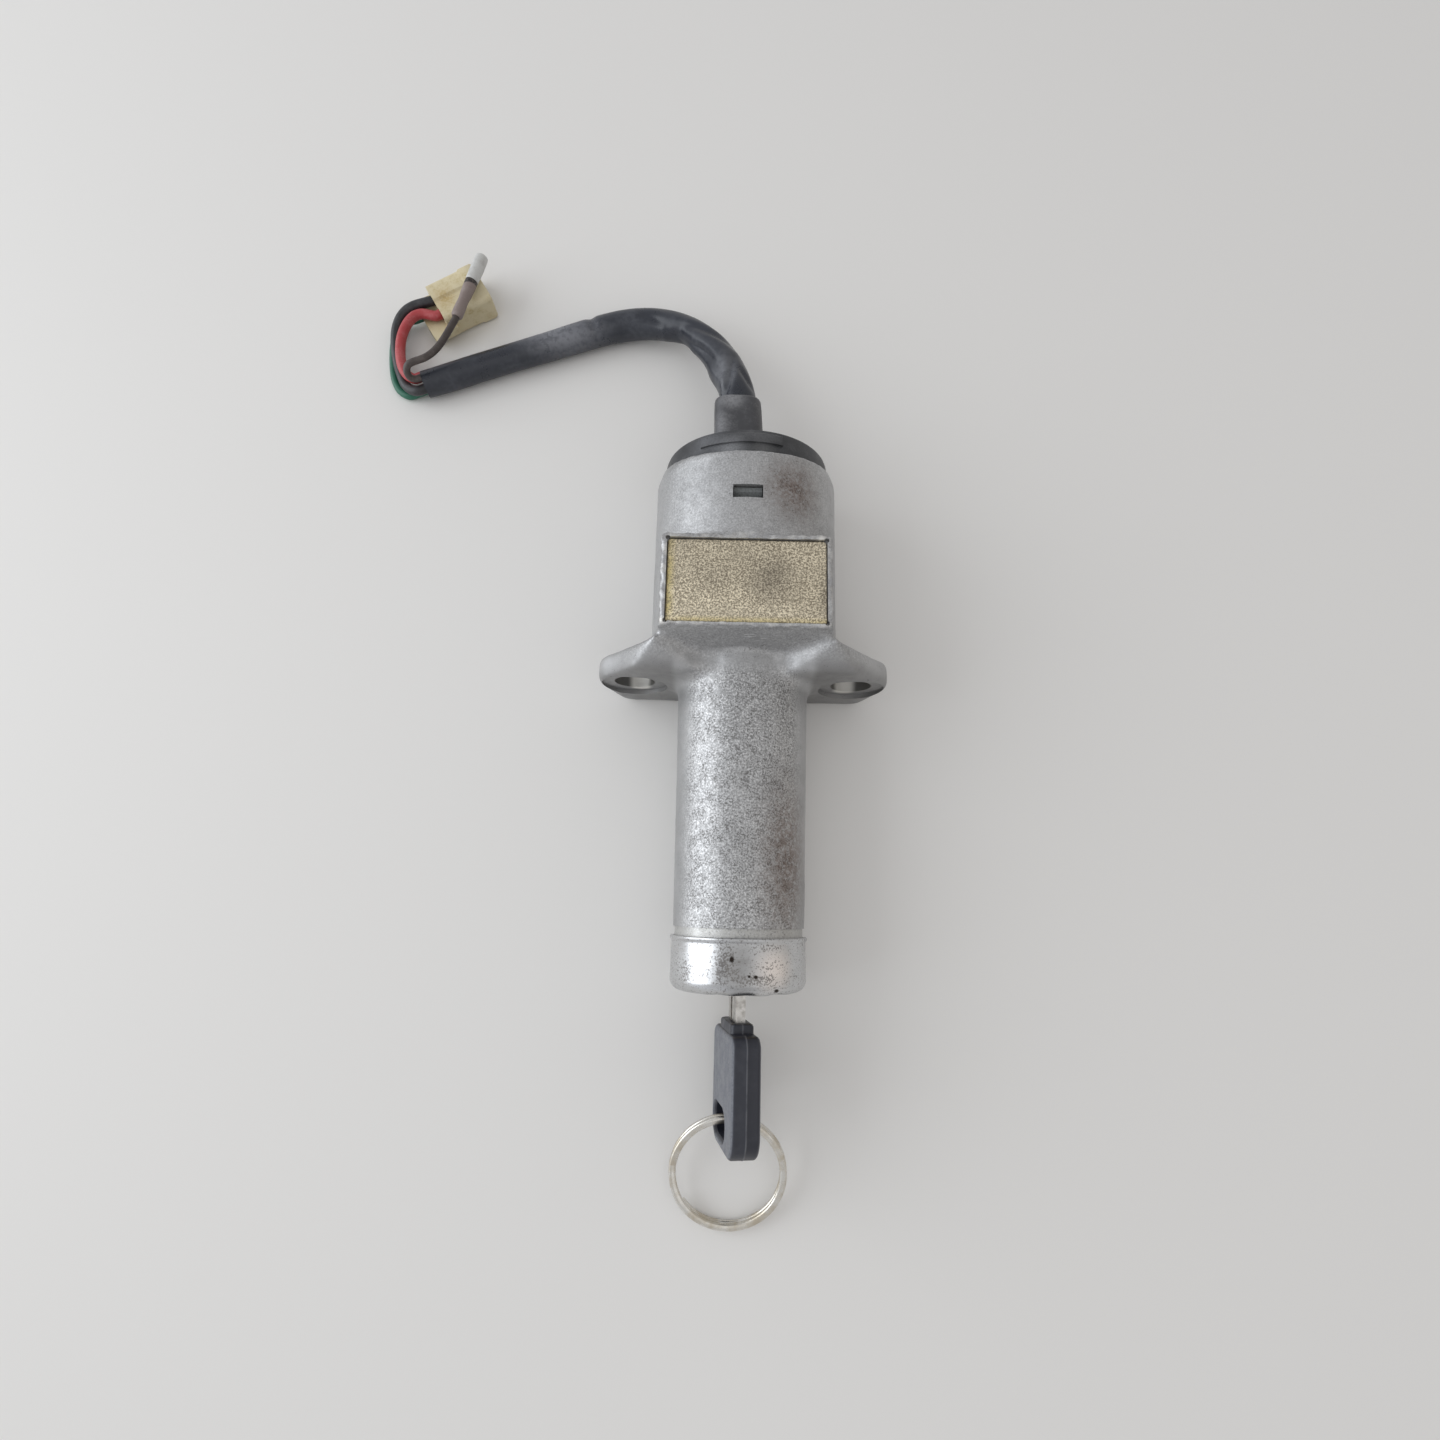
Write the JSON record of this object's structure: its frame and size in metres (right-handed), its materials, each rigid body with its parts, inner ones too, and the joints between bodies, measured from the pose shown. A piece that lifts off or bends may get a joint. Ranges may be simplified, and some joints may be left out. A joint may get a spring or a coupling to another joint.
{
  "type": "ignition switch",
  "caption": "Motorcycle ignition switch: die-cast steering lock barrel with flanged ears, cover plate, key on a split ring, and a sleeved cable with connector.",
  "frame": {"origin": "on the lock's axis, midway between the two bolt holes, in the plane of the flange's pads", "axes": "+Y along the lock's axis from the key towards the cable, +Z out of the cover plate, +X to the right seen from the key"},
  "size_m": [0.1288, 0.2335, 0.0358],
  "materials": {
    "zinc_casting": "cast, speckled and stained",
    "plated_cap": "worn bright plating",
    "gold_plate": "gold passivated, grainy",
    "brass": "machined",
    "steel": "machined",
    "spring_steel": "drawn wire",
    "rotor_plastic": "moulded",
    "black_plastic": "moulded, dusty",
    "boot_rubber": "dusty rubber",
    "sleeve_vinyl": "soft vinyl",
    "wire_red": "vinyl insulation",
    "wire_black": "vinyl insulation",
    "wire_green": "vinyl insulation",
    "wire_brown": "vinyl insulation",
    "nylon": "yellowed nylon",
    "crimp_vinyl": "vinyl tube",
    "clear_vinyl": "milky vinyl",
    "tinned": "tinned brass",
    "key_metal": "nickel silver",
    "key_plastic": "moulded, scuffed",
    "ring_nickel": "tarnished nickel"
  },
  "bodies": {
    "housing": {"housing": "zinc_casting", "barrel_cap": "plated_cap", "cover_plate": "gold_plate", "cylinder_sleeve": "brass", "bolt_spring": "spring_steel", "contact_base": "black_plastic", "fixed_contacts": "brass", "lead_wires": "wire_black", "rear_cover": "black_plastic", "cable_boot": "boot_rubber", "cable_sleeve": "sleeve_vinyl", "wire_red": "wire_red", "wire_black": "wire_black", "wire_green": "wire_green", "wire_brown": "wire_brown", "connector_housing": "nylon", "connector_terminals": "brass", "crimp_tube": "crimp_vinyl", "bullet_sleeve": "clear_vinyl", "bullet_terminal": "tinned"},
    "lock_cylinder": {"lock_plug": "brass", "wafer_tumblers": "brass", "wafer_springs": "spring_steel", "plug_clip": "steel", "drive_crank": "steel", "switch_rotor": "rotor_plastic", "contact_bridge": "brass", "contact_springs": "spring_steel", "detent_ball": "steel", "detent_spring": "spring_steel"},
    "lock_bolt": {"lock_bolt": "steel"},
    "key": {"key_blade": "key_metal", "key_head": "key_plastic"},
    "key_ring": {"key_ring": "ring_nickel"}
  },
  "joints": [
    {"name": "key_turn", "type": "hinge", "parent": "housing", "child": "lock_cylinder", "pos_m": [0, 0, 0], "axis": [0, 1, 0], "range_deg": [-60, 60]},
    {"name": "bolt_slide", "type": "slide", "parent": "housing", "child": "lock_bolt", "axis": [0, 0, 1], "range_m": [-0.00519, 0.00519], "deforming": ["bolt_spring"]},
    {"name": "key_withdraw", "type": "slide", "parent": "lock_cylinder", "child": "key", "axis": [0, -1, 0], "range_m": [0, 0.036]},
    {"name": "ring_swing", "type": "hinge", "parent": "key", "child": "key_ring", "pos_m": [-0.00118, -0.0927, -0.0067], "axis": [1, 0, 0], "range_deg": [-100, 90]}
  ],
  "couplings": [
    {"joint": "key_turn", "follows": "bolt_slide", "rad_per_m": 201.6}
  ]
}
